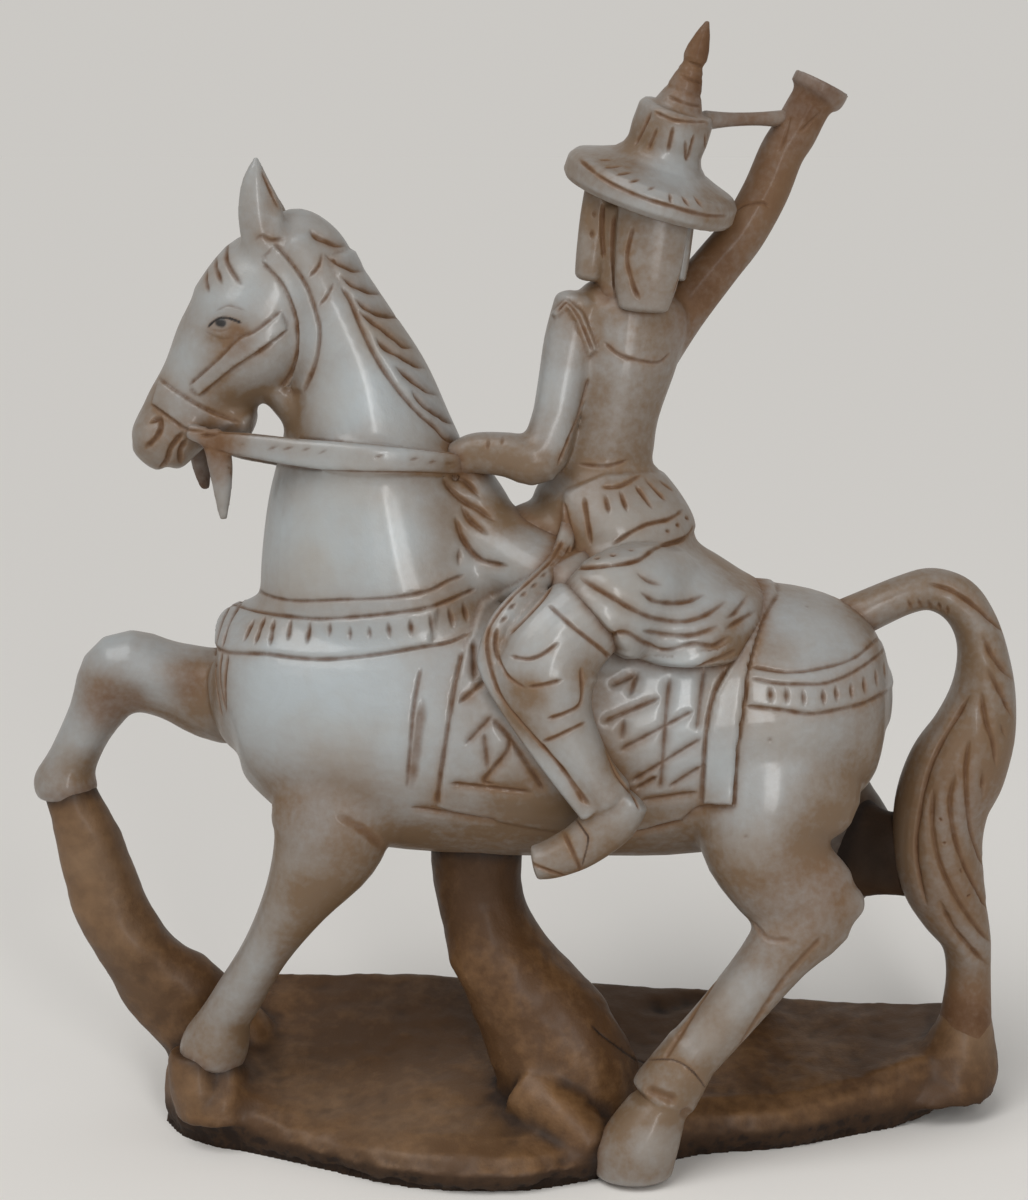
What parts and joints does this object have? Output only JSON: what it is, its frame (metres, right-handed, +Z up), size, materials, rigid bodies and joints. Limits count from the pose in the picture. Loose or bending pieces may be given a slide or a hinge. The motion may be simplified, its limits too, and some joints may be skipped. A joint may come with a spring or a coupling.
{
  "type": "carved stone horse and rider statue",
  "caption": "Carved marble statue of a rider in a spired hat on a striding horse, standing on a rough brown rock base with stone props under the belly and the raised foreleg.",
  "frame": {"origin": "on the flat underside of the rock base, under the middle of the horse", "axes": "+Z up; +X from the horse's head to its tail; +Y from the horse's left flank to its right flank"},
  "size_m": [0.2702, 0.0971, 0.3013],
  "materials": {
    "white_stone": "polished grey-white marble with brown stain in the cut lines",
    "brown_stone": "waxed brown-stained rough stone"
  },
  "bodies": {
    "root": {"horse_trunk": "white_stone", "horse_head": "white_stone", "horse_neck": "white_stone", "left_ear": "white_stone", "right_ear": "white_stone", "mane": "white_stone", "saddle_cloth": "white_stone", "saddle_pommel": "white_stone", "breast_collar": "white_stone", "crupper_strap": "white_stone", "left_foreleg": "white_stone", "right_foreleg": "white_stone", "left_hind_leg": "white_stone", "left_hind_hoof": "white_stone", "right_hind_leg": "white_stone", "tail": "white_stone", "rider_skirt": "white_stone", "rider_peplum": "white_stone", "rider_torso": "white_stone", "hat_brim": "white_stone", "hat_crown": "white_stone", "hat_finial": "white_stone", "rider_head": "white_stone", "right_arm": "white_stone", "left_arm": "white_stone", "back_flap": "white_stone", "left_flap": "white_stone", "right_flap": "white_stone", "arm_strut": "white_stone", "left_leg": "white_stone", "left_foot": "white_stone", "left_stirrup_strap": "white_stone", "left_rein": "white_stone", "left_bit_tassel": "white_stone", "right_leg": "white_stone", "right_foot": "white_stone", "right_stirrup_strap": "white_stone", "right_rein": "white_stone", "right_bit_tassel": "white_stone", "base_rock": "brown_stone", "belly_stump": "brown_stone", "foreleg_prop": "brown_stone", "tail_brace": "brown_stone"}
  },
  "joints": []
}
